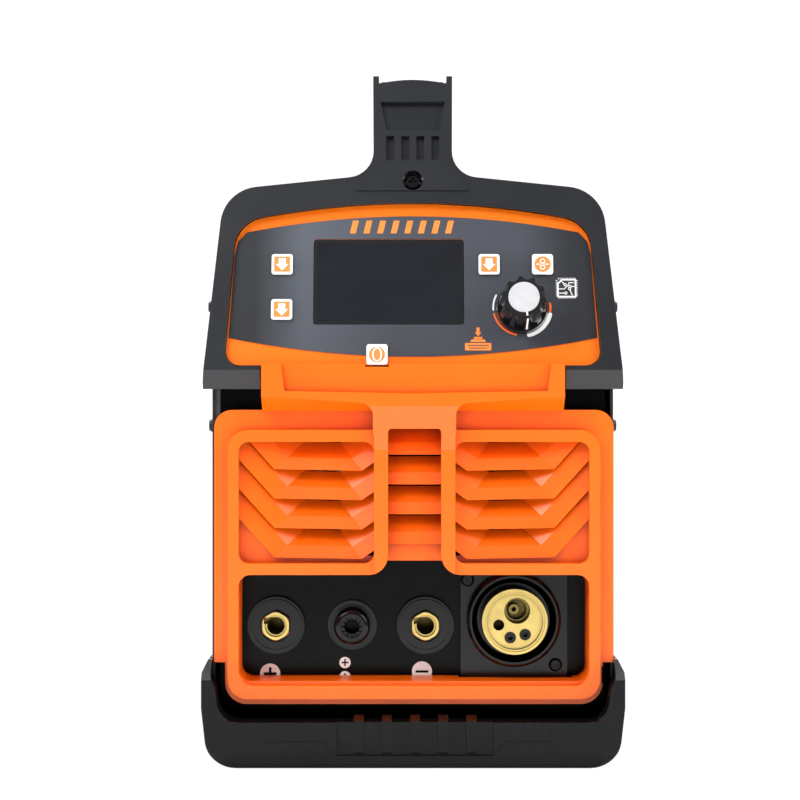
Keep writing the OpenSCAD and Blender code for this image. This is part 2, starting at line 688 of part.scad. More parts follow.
// Barrel of length len centred at y, with a leaf between two heights on the case side
module knuckle(y, len, z0, z1) {
    y_cyl(1.8, y - len / 2, y + len / 2, hinge_x, hinge_z);
    block([hinge_x - 0.6, y - len / 2, min(z0, hinge_z)], [hinge_x + 0.2, y + len / 2, max(z1, hinge_z)]);
}
module door_hinges() {
    color("#8f9194") for (y = hinge_y) {
        difference() {
            for (s = [-1, 1]) knuckle(y + s * 20.3, 20, 14, 22);
            y_cyl(0.95, y - 40, y + 40, hinge_x, hinge_z);
        }
        y_cyl(0.9, y - 32, y + 32, hinge_x, hinge_z);
        for (s = [-1, 1]) y_cyl(1.6, y + s * 31.5 - 0.8, y + s * 31.5 + 0.8, hinge_x, hinge_z);
    }
}
module latch_frame(y) {
    translate([cover_hw - 6.6, y, door_z1 - 3]) rotate([0, -atan(7.4 / 80), 0]) children();
}
// Slide latch: a thumb pad outside the door, a neck through its window, a tongue inside
module latch(y) {
    color("#0f0f10") latch_frame(y) {
        translate([1.6, -7, -11]) cube([2, 14, 14]);
        for (i = [0:3]) translate([3.4, -6, -9 + i * 3]) cube([0.8, 12, 1.2]);
        translate([-2, -4.6, -5]) cube([4, 9.2, 4]);
        translate([-3.6, -4.6, -12]) cube([2, 9.2, 18]);
    }
}
module front_latch() { latch(latch_y[0]); }
module rear_latch() { latch(latch_y[1]); }

// --- Rear ----------------------------------------------------------------------------------

module rear_cover() {
    color("#26272b") mirror([0, 1, 0]) difference() {
        union() {
            intersection() {
                slice(front_y, seat_y) bezel_outline(54);
                behind_face(0, seat_y, 0, 400);
            }
            intersection() {
                slice(seat_y - 5, seat_y + 26) {
                    polygon(mirrored(concat([[30, 296.6]], column_fillet, [[20.3, column_top]])));
                }
                behind_face(0, seat_y + 30, 290, 400);
                wall(-40, 40) polygon([[seat_y - 5, 296], [seat_y + 16, 296], [seat_y + 26, 306],
                    [seat_y + 26, 350], [seat_y - 5, 350]]);
            }
        }
        // One tall opening for the rear panel
        slice(front_y - 10, seat_y + 1) rounded_box(-88, 88, 54, 272, 12);
        slice(front_y + 12, seat_y + 1) case_outline(6, 40);
        slice(seat_y - 20, seat_y + 30) saddle();
        on_face(-4) translate([0, up(294.5), 0]) cylinder(r = 5.2, h = 10);
        for (s = [-1, 1]) side_screw_seat(s);
    }
}
fan_at = [-38, 175];
switch_at = [48, 228];
rear_panel_y = case_y1 + 2;
module rear_panel() {
    color("#2e2f32") difference() {
        slice(rear_panel_y, rear_panel_y + sheet) case_outline(7, 14);
        // Fan grille: rings cut into a round field, left joined by four spokes
        difference() {
            for (r = [8:8:40]) difference() {
                y_cyl(r + 2.6, rear_panel_y - 1, rear_panel_y + 3, fan_at.x, fan_at.y);
                y_cyl(r - 2.6, rear_panel_y - 2, rear_panel_y + 4, fan_at.x, fan_at.y);
            }
            for (a = [45, 135]) translate([fan_at.x, rear_panel_y, fan_at.y]) rotate([0, a, 0]) {
                cube([120, 10, 3.5], center = true);
            }
        }
        block([switch_at.x - 14, rear_panel_y - 1, switch_at.y - 11],
            [switch_at.x + 14, rear_panel_y + 3, switch_at.y + 11]);
        y_cyl(10, rear_panel_y - 1, rear_panel_y + 3, 48, 180);
        y_cyl(6, rear_panel_y - 1, rear_panel_y + 3, gas_at.x, gas_at.y);
    }
}
module power_switch() {
    color("#111111") difference() {
        union() {
            slice(rear_panel_y - 20, rear_panel_y + 1.5) {
                translate([switch_at.x - 13.8, switch_at.y - 10.8]) square([27.6, 21.6]);
            }
            slice(rear_panel_y + sheet, rear_panel_y + sheet + 2) {
                rounded_box(switch_at.x - 16, switch_at.x + 16, switch_at.y - 13, switch_at.y + 13, 2);
            }
        }
        block([switch_at.x - 12, rear_panel_y - 14, switch_at.y - 9.2],
            [switch_at.x + 12, rear_panel_y + 5, switch_at.y + 9.2]);
    }
}
rocker_y = rear_panel_y - 1;
module switch_rocker() {
    color("#b3261e") wall(switch_at.x - 11.5, switch_at.x + 11.5) difference() {
        translate([rocker_y, switch_at.y]) circle(8.9);
        translate([rocker_y - 20, switch_at.y - 10]) square([18, 20]);
        translate([rocker_y + 14, switch_at.y]) circle(8);
    }
}
module supply_gland() {
    color("#0e0e0f") difference() {
        union() {
            y_cyl(9.8, rear_panel_y - 8, rear_panel_y + sheet, 48, 180);
            y_cyl(13, rear_panel_y + sheet, rear_panel_y + 5, 48, 180);
            translate([48, rear_panel_y + 20, 180]) rotate([90, 0, 0]) cylinder(r1 = 8, r2 = 11, h = 15);
        }
        y_cyl(5, rear_panel_y - 9, rear_panel_y + 25, 48, 180);
    }
}
gas_tip_y = rear_y + 6.65;
gas_at = [48, 52];
module gas_inlet() {
    color("#d9b35a") difference() {
        union() {
            y_cyl(5.9, rear_panel_y - 12, rear_panel_y + sheet, gas_at.x, gas_at.y);
            translate([gas_at.x, rear_panel_y + 6, gas_at.y]) rotate([90, 0, 0])
                cylinder(r = 9, h = 6 - sheet, $fn = 6);
            y_cyl(3.6, rear_panel_y + 6, gas_tip_y, gas_at.x, gas_at.y);
            for (i = [0:2]) translate([gas_at.x, gas_tip_y - 4 - i * 4.5, gas_at.y]) {
                rotate([90, 0, 0]) cylinder(r1 = 3.7, r2 = 4.6, h = 4);
            }
        }
        y_cyl(2.2, rear_panel_y - 13, gas_tip_y + 1, gas_at.x, gas_at.y);
    }
}
module fan_frame() {
    color("#17181a") difference() {
        union() {
            slice(rear_panel_y - 26, rear_panel_y - 2)
                rounded_box(fan_at.x - 46, fan_at.x + 46, fan_at.y - 46, fan_at.y + 46, 4);
        }
        y_cyl(43.5, rear_panel_y - 24, rear_panel_y, fan_at.x, fan_at.y);
        difference() {
            y_cyl(43.5, rear_panel_y - 30, rear_panel_y - 22, fan_at.x, fan_at.y);
            y_cyl(16, rear_panel_y - 30, rear_panel_y - 22, fan_at.x, fan_at.y);
            for (a = [30, 150, 270]) translate([fan_at.x, rear_panel_y - 26, fan_at.y]) rotate([0, a, 0]) {
                translate([0, 0, -2]) cube([50, 6, 4]);
            }
        }
    }
}
module fan_rotor() {
    color("#222326") {
        y_cyl(16, rear_panel_y - 21, rear_panel_y - 5, fan_at.x, fan_at.y);
        for (a = [0:51.4286:359]) translate([fan_at.x, rear_panel_y - 13, fan_at.y]) rotate([0, a, 0]) {
            translate([14, 0, 0]) rotate([50, 0, 0]) translate([0, -0.9, -8.5]) cube([27.5, 1.8, 17]);
        }
    }
}

// --- Wire feed compartment -----------------------------------------------------------------

divider_x = 8;
module divider_plate() {
    color("#9ea1a4") difference() {
        union() {
            block([divider_x, -133, 14], [divider_x + sheet, 160, 270]);
            block([divider_x + sheet, -133, 14], [divider_x + 12, 160, 15.2]);
        }
        x_cyl(24.3, divider_x - 1, divider_x + 3, roll_y, wire_z - 16);
        x_cyl(6.3, divider_x - 1, divider_x + 3, spool_y, spool_z);
    }
}
module feed_base() {
    color("#b9bcc0") difference() {
        union() {
            block([divider_x + 2, -132, 34], [divider_x + 8, -48, 112]);
            // Bearing boss for the drive shaft, and post for the pressure arm
            x_cyl(9, divider_x + 8, 40, roll_y, wire_z - 16);
            x_cyl(5, divider_x + 8, 44, -126, 96);
            // Foot of the tension screw, with a pin between two ears
            block([divider_x + 8, -59, 48], [46, -51, 56]);
            for (x = [30, 42.6]) block([x, -59, 50], [x + 3.4, -51, 65.5]);
            x_cyl(1.4, 30, 46, -55, 62);
            // Wire guides either side of the rolls
            block([divider_x + 8, -118, wire_z - 5], [59, -112, wire_z + 5]);
            block([divider_x + 8, -68, wire_z - 5], [59, -62, wire_z + 5]);
            y_cyl(4, -126, -112, torch_x, wire_z);
            y_cyl(4, -62, -44, torch_x, wire_z);
        }
        x_cyl(4.05, 0, 60, roll_y, wire_z - 16);
        y_cyl(1, -130, -40, torch_x, wire_z);
    }
}
module feed_motor() {
    color("#3a3c40") {
        x_cyl(24, -52, divider_x - 6, roll_y, wire_z - 16);
        x_cyl(19, -62, -52, roll_y, wire_z - 16);
        x_cyl(18, divider_x - 6, divider_x + 2, roll_y, wire_z - 16);
    }
}
module drive_roll() {
    color("#c9ccd0") {
        difference() {
            x_cyl(roll_d / 2, 47, 57, roll_y, wire_z - 16);
            // Wire groove
            translate([torch_x, roll_y, wire_z - 16]) rotate([0, 90, 0]) rotate_extrude() {
                polygon([[roll_d / 2 - 0.7, 0], [roll_d / 2 + 1, -1.2], [roll_d / 2 + 1, 1.2]]);
            }
            for (a = [0:120:359]) translate([0, roll_y, wire_z - 16]) rotate([a, 0, 0])
                x_cyl(1.6, 44, 60, 9.5, 0);
        }
        x_cyl(4, divider_x + 2.2, 47, roll_y, wire_z - 16);
        x_cyl(5, 57, 61, roll_y, wire_z - 16);
    }
}
roll_gap = 1;
pressure_r = 9;
pressure_z = wire_z - 16 + roll_d / 2 + roll_gap + pressure_r;
module pressure_arm() {
    color("#2a2b2e") difference() {
        union() {
            x_cyl(9, 30, 43, -126, 96);
            wall(30, 43) polygon([[-128, 104], [-104, 107], [-72, 107], [-47, 102], [-47, 95], [-72, 95],
                [-80, 77], [-100, 77], [-106, 90], [-124, 88]]);
            x_cyl(3, 43, 60, roll_y, pressure_z);
            x_cyl(5, 59, 61, roll_y, pressure_z);
        }
        x_cyl(5.05, 20, 60, -126, 96);
        // Fork for the tension screw
        block([32, -62, 80], [50, -40, 120]);
    }
}
module pressure_roll() {
    color("#d4d6d9") difference() {
        x_cyl(pressure_r, 47.5, 57.5, roll_y, pressure_z);
        x_cyl(3.05, 46, 60, roll_y, pressure_z);
    }
}
// Drawn swung out about the pin in its foot, as it is with no wire under pressure
screw_at = [-55, 62];
screw_open = 80;
module tension_screw() {
    color("#d0a23c") translate([38, screw_at.x, screw_at.y]) rotate([-screw_open, 0, 0]) {
        difference() {
            union() {
                cylinder(r = 2.5, h = 58);
                x_cyl(3.8, -4, 4, 0, 0);
            }
            x_cyl(1.45, -5, 5, 0, 0);
        }
        translate([0, 0, 46]) cylinder(r = 6, h = 3);
        translate([0, 0, 49]) difference() {
            cylinder(r = 8, h = 12);
            for (a = [0:45:359]) rotate(a) translate([9, 0, -1]) cylinder(r = 2, h = 20);
        }
    }
}
module spool_hub() {
    color("#17181a") {
        x_cyl(6.2, divider_x - 6, divider_x + sheet, spool_y, spool_z);
        x_cyl(30, divider_x + sheet, spool_x0 - 1, spool_y, spool_z);
        x_cyl(24, spool_x0 - 1, spool_x0 + spool_w + 2, spool_y, spool_z);
        x_cyl(6, spool_x0 + spool_w + 2, 86, spool_y, spool_z);
    }
}
module wire_spool() {
    color("#1a1a1c") difference() {
        union() {
            for (x = [spool_x0, spool_x0 + spool_w - 3]) x_cyl(spool_d / 2, x, x + 3, spool_y, spool_z);
            x_cyl(45, spool_x0, spool_x0 + spool_w, spool_y, spool_z);
        }
        x_cyl(42, spool_x0 + 3, spool_x0 + spool_w - 3, spool_y, spool_z);
        x_cyl(24.08, spool_x0 - 1, spool_x0 + spool_w + 1, spool_y, spool_z);
        for (a = [0:60:359]) translate([0, spool_y, spool_z]) rotate([a, 0, 0]) {
            x_cyl(9, spool_x0 - 1, spool_x0 + spool_w + 1, 68, 0);
        }
    }
    color("#1a1a1c") difference() {
        x_cyl(27, spool_x0 + 3, spool_x0 + spool_w - 3, spool_y, spool_z);
        x_cyl(24.08, spool_x0, spool_x0 + spool_w, spool_y, spool_z);
    }
}
module spool_wire() {
    color("#c98b5a") difference() {
        x_cyl(spool_d / 2 - 9, spool_x0 + 3, spool_x0 + spool_w - 3, spool_y, spool_z);
        x_cyl(45, spool_x0 - 1, spool_x0 + spool_w + 1, spool_y, spool_z);
    }
}
module spool_nut() {
    color("#101011") difference() {
        union() {
            x_cyl(25, spool_x0 + spool_w + 2, spool_x0 + spool_w + 6, spool_y, spool_z);
            x_cyl(16, spool_x0 + spool_w + 6, 92, spool_y, spool_z);
        }
        for (a = [0:45:359]) translate([0, spool_y, spool_z]) rotate([a, 0, 0]) {
            x_cyl(3, spool_x0 + spool_w + 6, 94, 17, 0);
        }
        x_cyl(6.05, spool_x0, 86, spool_y, spool_z);
    }
}

// --- Power side ----------------------------------------------------------------------------

module power_board() {
    color("#1f6b45") {
        block([-94, -130, 112], [-2, 110, 113.6]);
        for (i = [0:5]) block([-90 + i * 14, 84, 113.6], [-82 + i * 14, 100, 122]);
        block([-88, -120, 113.6], [-62, -96, 130]);
        block([-50, -120, 113.6], [-30, -100, 124]);
    }
}
module heat_sinks() {
    color("#c4c7cb") for (y = [-85, 15]) {
        block([-80, y, 129], [-18, y + 60, 135]);
        for (i = [0:10]) block([-80 + i * 6, y, 135], [-78 + i * 6, y + 60, 165]);
        for (x = [-72, -30]) block([x, y + 8, 113.6], [x + 4, y + 52, 129]);
    }
}
module capacitors() {
    color("#22345e") for (i = [0:2]) translate([-20, 84, 0]) translate([-i * 27, -4, 0]) {
        difference() {
            translate([0, 0, 60]) cylinder(r = 12.5, h = 51);
            translate([0, 0, 59]) cylinder(r = 8, h = 1.6);
        }
    }
}
module transformer() {
    color("#7d5a3a") {
        // Core with its window, and the windings round its middle limb
        difference() {
            block([-76, -50, 14], [-26, 2, 70]);
            block([-66, -51, 28], [-36, 3, 56]);
        }
        difference() {
            block([-65, -58, 29], [-37, 10, 55]);
            block([-60, -70, 38], [-42, 20, 46]);
        }
    }
}
module output_choke() {
    color("#a8623a") translate([-50, 56, 34]) {
        rotate_extrude() translate([22, 0]) circle(11);
        for (s = [-1, 1]) translate([s * 22, 0, -20]) cylinder(r = 4, h = 20);
    }
}
module gas_valve() {
    color("#8c8f93") {
        block([34, 138, 37], [62, rear_panel_y - 12.2, 67]);
        translate([48, 150, 17]) cylinder(r = 11, h = 20);
        y_cyl(3.5, 120, 138, 56, 48);
    }
}
// Hole and flat seat for a side screw of the control head
module side_screw_seat(s) {
    x_cyl(1.6, s * 100 - 8, s * 100 + 8, seat_y - 10, 230);
    x_cyl(3.6, s * 106 - 4.8, s * 106 + 4.8, seat_y - 10, 230);
}
// One domed screw, axis along +Z, its head above z = 0
module screw(r, len) {
    difference() {
        union() {
            translate([0, 0, -len]) cylinder(r = r * 0.42, h = len);
            cylinder(r1 = r, r2 = r * 0.7, h = r * 0.55);
        }
        for (a = [0, 90]) rotate(a) translate([-r * 0.5, -r * 0.11, r * 0.25]) cube([r, r * 0.22, r]);
    }
}
module case_screws() {
    color("#0b0b0c") {
        for (f = [0, 1]) mirror([0, f, 0]) on_face(-4) translate([0, up(294.5), 0]) screw(4.6, 12);
        for (s = [-1, 1], y = [case_y0 + 8, case_y1 - 8]) {
            translate([s * cover_hw, y, 170]) rotate([0, s * 90, 0]) screw(3.9, 8);
        }
        for (p = torch_screws) translate([torch_x + p.x, panel_y - 7, p.y]) rotate([90, 0, 0])
            screw(3.5, 6);
        for (s = [-1, 1], f = [-1, 1]) translate([s * 101.2, f * (seat_y - 10), 230])
            rotate([0, s * 90, 0]) screw(3.5, 9);
        for (p = foot_at) translate([p.x, p.y, 4]) rotate([180, 0, 0]) screw(4.6, 13);
    }
}
// --- Assembly ------------------------------------------------------------------------------

control_bezel();
handle_grip();
rear_cover();
control_panel();
panel_label();
display_window();
display_module();
upper_left_button();
lower_left_button();
upper_right_button();
wire_feed_button();
lower_button();
setting_knob();
knob_cap();
knob_encoder();
control_board();
front_grille();
socket_panel();
positive_socket();
positive_contact();
negative_socket();
negative_contact();
lead_gland();
torch_flange();
torch_socket();
torch_pins();
front_bumper();
rear_bumper();
feet();
base_plate();
case_cover();
side_door();
door_hinges();
front_latch();
rear_latch();
divider_plate();
feed_base();
feed_motor();
drive_roll();
pressure_arm();
pressure_roll();
tension_screw();
spool_hub();
wire_spool();
spool_wire();
spool_nut();
power_board();
heat_sinks();
capacitors();
transformer();
output_choke();
fan_frame();
fan_rotor();
rear_panel();
power_switch();
switch_rocker();
gas_inlet();
gas_valve();
supply_gland();
case_screws();
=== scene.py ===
"""Looks for a compact inverter welder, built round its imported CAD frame. Metres, +Z up, front towards -Y."""

import math

import bpy
import bmesh
from mathutils import Matrix, Vector


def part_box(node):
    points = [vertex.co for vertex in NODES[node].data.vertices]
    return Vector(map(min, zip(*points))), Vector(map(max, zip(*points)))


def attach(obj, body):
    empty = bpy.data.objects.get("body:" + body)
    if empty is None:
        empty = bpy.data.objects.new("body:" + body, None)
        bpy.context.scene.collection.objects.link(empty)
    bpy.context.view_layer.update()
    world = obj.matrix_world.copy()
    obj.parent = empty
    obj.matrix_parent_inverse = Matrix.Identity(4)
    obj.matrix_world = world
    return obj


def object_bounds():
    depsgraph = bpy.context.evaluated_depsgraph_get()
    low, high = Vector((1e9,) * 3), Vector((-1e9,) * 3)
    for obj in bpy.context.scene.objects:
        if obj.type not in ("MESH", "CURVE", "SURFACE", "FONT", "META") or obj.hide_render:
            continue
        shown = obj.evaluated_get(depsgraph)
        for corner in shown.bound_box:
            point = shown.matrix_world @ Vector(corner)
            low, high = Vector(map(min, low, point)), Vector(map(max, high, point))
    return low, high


MM = 0.001
TILT = math.radians(14)          # lean of the control face
# Edges: faces flatter to each other than FLAT are joined, and edges sharper than SHARP are rounded
FLAT, SHARP = math.radians(0.4), math.radians(38)
DEFAULT_EDGE = 0.4               # rounding in millimetres
FINE_EDGE = 0.8                  # an edge under this takes fewer segments
INK_THICK, INK_LIFT = 0.06, 0.02  # printed marks, in millimetres
LABEL_HALF = 0.093               # half the width of the printed label, in metres
LABEL_LOW, LABEL_HIGH = 0.205, 0.276
OPEN_FULL_SHADE, OPEN_UNSHADED = 0.15, 0.75  # openness where the painted crevice shade is darkest and where it ends
BRASS_FLOOR, PLASTIC_FLOOR = 0.03, 0.12  # how dark the painted shade in the deepest crevice is
KNOB_X, KNOB_Z = 54.8, 229.4     # knob centre, in millimetres
POINTER_ANGLE = math.radians(279)
POINTER_HALF = 0.42 * MM         # half the width of the pointer line
POINTER_SKIN = 0.01 * MM, 0.12 * MM  # its under and upper side above the knob
PAPER_BURN = 0.88                # share of the paper that reads as plain white
CAMERA_AT = (-6.5 * MM, -1.4, 183 * MM)
SENSOR, LENS = 36, 108
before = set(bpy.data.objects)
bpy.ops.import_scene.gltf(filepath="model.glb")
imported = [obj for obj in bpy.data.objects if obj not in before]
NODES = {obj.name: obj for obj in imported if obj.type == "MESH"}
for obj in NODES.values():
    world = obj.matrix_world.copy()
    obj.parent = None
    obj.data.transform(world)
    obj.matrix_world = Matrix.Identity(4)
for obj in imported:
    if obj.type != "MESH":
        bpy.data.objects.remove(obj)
cad_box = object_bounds()


def srgb(r, g, b):
    """Display colour 0-255 to the linear colour that shaders take."""
    def linear(c):
        c /= 255
        return c / 12.92 if c <= 0.04045 else ((c + 0.055) / 1.055) ** 2.4
    return (linear(r), linear(g), linear(b), 1)


# --- Materials ------------------------------------------------------------------------------

class Graph:
    """A small wrapper that builds one node material."""

    def __init__(self, name):
        self.mat = bpy.data.materials.new(name)
        self.mat.use_nodes = True
        self.tree = self.mat.node_tree
        self.tree.nodes.clear()
        self.out = self.add("ShaderNodeOutputMaterial")
        self.bsdf = self.add("ShaderNodeBsdfPrincipled")
        self.link(self.bsdf.outputs["BSDF"], self.out.inputs["Surface"])
        self.coords = self.add("ShaderNodeTexCoord")

    def add(self, kind, **props):
        node = self.tree.nodes.new(kind)
        for key, value in props.items():
            setattr(node, key, value)
        return node

    def link(self, a, b):
        self.tree.links.new(a, b)

    def stretched(self, scale):
        """Object coordinates scaled along each axis."""
        mapping = self.add("ShaderNodeMapping")
        self.link(self.coords.outputs["Object"], mapping.inputs["Vector"])
        mapping.inputs["Scale"].default_value = scale
        return mapping.outputs["Vector"]

    def noise(self, size, detail=3, rough=0.5, stretch=None):
        """Noise whose features are about size metres across."""
        node = self.add("ShaderNodeTexNoise")
        node.inputs["Scale"].default_value = 1 / size
        node.inputs["Detail"].default_value = detail
        node.inputs["Roughness"].default_value = rough
        vector = self.stretched(stretch) if stretch else self.coords.outputs["Object"]
        self.link(vector, node.inputs["Vector"])
        return node.outputs["Fac"]

    def ramp(self, value, stops):
        node = self.add("ShaderNodeValToRGB")
        ramp = node.color_ramp
        while len(ramp.elements) < len(stops):
            ramp.elements.new(0.5)
        for element, (at, colour) in zip(ramp.elements, stops):
            element.position = at
            element.color = colour
        self.link(value, node.inputs["Fac"])
        return node.outputs["Color"]

    def span(self, value, lo, hi, from_lo=0.0, from_hi=1.0):
        node = self.add("ShaderNodeMapRange")
        self.link(value, node.inputs["Value"])
        node.inputs["From Min"].default_value = from_lo
        node.inputs["From Max"].default_value = from_hi
        node.inputs["To Min"].default_value = lo
        node.inputs["To Max"].default_value = hi
        return node.outputs["Result"]

    def mix(self, factor, a, b, blend="MIX"):
        """Colour mix; a, b and factor are sockets or constants."""
        node = self.add("ShaderNodeMix", data_type="RGBA", blend_type=blend)
        for socket, value in ((node.inputs[0], factor), (node.inputs[6], a), (node.inputs[7], b)):
            if isinstance(value, bpy.types.NodeSocket):
                self.link(value, socket)
            else:
                socket.default_value = value
        return node.outputs[2]

    def bump(self, height, strength, distance):
        node = self.add("ShaderNodeBump")
        node.inputs["Strength"].default_value = strength
        node.inputs["Distance"].default_value = distance
        self.link(height, node.inputs["Height"])
        self.link(node.outputs["Normal"], self.bsdf.inputs["Normal"])

    def painted_crevice_shade(self, base, reach, floor):
        """Painted shade: base colour darkened where the surface is closed in and shade falls."""
        node = self.add("ShaderNodeAmbientOcclusion", samples=8)
        node.inputs["Distance"].default_value = reach
        open_share = self.ramp(node.outputs["AO"], [(OPEN_FULL_SHADE, (floor, floor, floor, 1)),
                                                    (OPEN_UNSHADED, (1, 1, 1, 1))])
        return self.mix(1.0, base, open_share, "MULTIPLY")

    def set(self, **values):
        for key, value in values.items():
            self.bsdf.inputs[key.replace("_", " ")].default_value = value


def shade(colour, factor):
    """Colour made darker or lighter, with full alpha."""
    return tuple(min(1, c * factor) for c in colour[:3]) + (1,)


def moulded(name, colour, rough, grain=0.0006, depth=0.00003, spread=0.05, specular=0.5, coat=0.0,
            reach=0.0, floor=PLASTIC_FLOOR):
    """Moulded plastic: fine spark-eroded grain, faint flow mottling and slightly worn gloss."""
    g = Graph(name)
    mottle = g.noise(0.045, 4, 0.6)
    specks = g.noise(0.0016, 2, 0.5)
    base = g.ramp(mottle, [(0.3, shade(colour, 1 - spread)), (0.7, shade(colour, 1 + spread))])
    base = g.mix(g.span(specks, 0, 0.12), base, shade(colour, 0.8))
    # Painted shade: darker in crevices, when a reach is given
    if reach:
        base = g.painted_crevice_shade(base, reach, floor)
    g.link(base, g.bsdf.inputs["Base Color"])
    g.link(g.span(g.noise(0.02, 3), rough - 0.05, rough + 0.06), g.bsdf.inputs["Roughness"])
    g.bump(g.noise(grain, 2), 0.35, depth)
    g.set(Specular_IOR_Level=specular)
    if coat:
        g.set(Coat_Weight=coat, Coat_Roughness=0.12)
    return g.mat


def powder_coat(name, colour, rough):
    """Powder coat: orange-peel waves and fine dust in the gloss."""
    g = Graph(name)
    peel = g.noise(0.0018, 2, 0.4)
    base = g.ramp(g.noise(0.08, 3), [(0.35, shade(colour, 0.9)), (0.65, shade(colour, 1.12))])
    g.link(base, g.bsdf.inputs["Base Color"])
    g.link(g.span(g.noise(0.006, 4, 0.7), rough - 0.06, rough + 0.08), g.bsdf.inputs["Roughness"])
    g.bump(peel, 0.5, 0.00006)
    return g.mat


def metal(name, colour, rough, lines=None, size=0.0005, depth=0.00001, spread=0.1, reach=0.0):
    """Metal with machining or brushing marks stretched along an axis."""
    g = Graph(name)
    marks = g.noise(size, 3, 0.6, stretch=lines or (1, 1, 1))
    stain = g.noise(0.01, 4, 0.6)
    base = g.ramp(stain, [(0.3, shade(colour, 1 - spread)), (0.7, shade(colour, 1 + spread * 0.5))])
    # Painted shade: darker in bores and crevices, when a reach is given
    if reach:
        base = g.painted_crevice_shade(base, reach, BRASS_FLOOR)
    g.link(base, g.bsdf.inputs["Base Color"])
    g.link(g.span(marks, rough - 0.07, rough + 0.12), g.bsdf.inputs["Roughness"])
    g.bump(marks, 0.3, depth)
    g.set(Metallic=1.0)
    return g.mat


def spun_cap(name, colour, rough):
    """Turned aluminium cap: fine rings in its gloss and a faint uneven tone."""
    g = Graph(name)
    rings = g.noise(0.0003, 2)
    base = g.ramp(g.noise(0.003, 3), [(0.3, shade(colour, 0.92)), (0.7, colour)])
    g.link(base, g.bsdf.inputs["Base Color"])
    g.link(g.span(rings, rough - 0.08, rough + 0.12), g.bsdf.inputs["Roughness"])
    g.bump(rings, 0.3, 0.00001)
    g.set(Metallic=0.55)
    return g.mat


def label_film(name):
    """Printed overlay: grey-blue with painted shade at the ends where it rolls away, lighter left of centre
    and towards the top, with a fine matt texture.
    """
    g = Graph(name)
    split = g.add("ShaderNodeSeparateXYZ")
    g.link(g.coords.outputs["Object"], split.inputs["Vector"])
    across = g.span(split.outputs["X"], 0, 1, -LABEL_HALF, LABEL_HALF)
    dark, mid, light = srgb(28, 30, 35), srgb(58, 61, 68), srgb(76, 80, 87)
    # The dark stops at both ends are painted shade where the film rolls away from the light
    base = g.ramp(across, [(0.0, dark), (0.07, dark), (0.2, light), (0.45, mid), (0.8, mid), (0.93, dark),
                           (1.0, dark)])
    rows = g.span(split.outputs["Z"], 0, 1, LABEL_LOW, LABEL_HIGH)
    tint = g.ramp(rows, [(0.0, srgb(235, 232, 240)), (0.6, (0.9, 0.92, 0.95, 1)),
                         (1.0, (1.15, 1.15, 1.2, 1))])
    g.link(g.mix(1.0, base, tint, "MULTIPLY"), g.bsdf.inputs["Base Color"])
    g.link(g.span(g.noise(0.004, 3), 0.38, 0.5), g.bsdf.inputs["Roughness"])
    g.bump(g.noise(0.0003, 2), 0.25, 0.00001)
    return g.mat


def screen_glass(name):
    """Black window glass with faint wiping smears in its gloss."""
    g = Graph(name)
    smear = g.noise(0.03, 4, 0.65, stretch=(1, 1, 3))
    g.link(g.ramp(smear, [(0.3, srgb(13, 16, 21)), (0.7, srgb(20, 24, 32))]), g.bsdf.inputs["Base Color"])
    g.link(g.span(smear, 0.06, 0.2), g.bsdf.inputs["Roughness"])
    return g.mat


def circuit_board(name, colour):
    """Solder-masked board with darker tracks."""
    g = Graph(name)
    tracks = g.add("ShaderNodeTexBrick")
    tracks.inputs["Scale"].default_value = 60
    tracks.inputs["Color1"].default_value = colour
    tracks.inputs["Color2"].default_value = shade(colour, 1.25)
    tracks.inputs["Mortar"].default_value = shade(colour, 0.6)
    g.link(g.coords.outputs["Object"], tracks.inputs["Vector"])
    g.link(tracks.outputs["Color"], g.bsdf.inputs["Base Color"])
    g.link(g.span(g.noise(0.003), 0.3, 0.45), g.bsdf.inputs["Roughness"])
    return g.mat


def windings(name, colour, axis_scale, metallic=0.8):
    """Close turns of wire: fine bands across the coil, with painted shade in the troughs between turns."""
    g = Graph(name)
    turns = g.add("ShaderNodeTexWave", wave_type="BANDS", bands_direction="X", wave_profile="SIN")
    turns.inputs["Scale"].default_value = 1.0
    turns.inputs["Distortion"].default_value = 0.6
    g.link(g.stretched(axis_scale), turns.inputs["Vector"])
    # Painted shade: darker in the troughs between turns
    base = g.ramp(turns.outputs["Fac"], [(0.0, shade(colour, 0.45)), (0.6, colour)])
    g.link(base, g.bsdf.inputs["Base Color"])
    g.link(g.span(g.noise(0.004), 0.25, 0.42), g.bsdf.inputs["Roughness"])
    g.bump(turns.outputs["Fac"], 0.6, 0.0003)
    g.set(Metallic=metallic)
    return g.mat


def ink(name, colour, rough=0.45):
    """Screen-printed ink: slightly uneven cover and a soft edge to its gloss."""
    g = Graph(name)
    cover = g.noise(0.0012, 3, 0.6)
    g.link(g.ramp(cover, [(0.3, shade(colour, 0.9)), (0.6, colour)]), g.bsdf.inputs["Base Color"])
    g.link(g.span(cover, rough - 0.08, rough + 0.1), g.bsdf.inputs["Roughness"])
    return g.mat


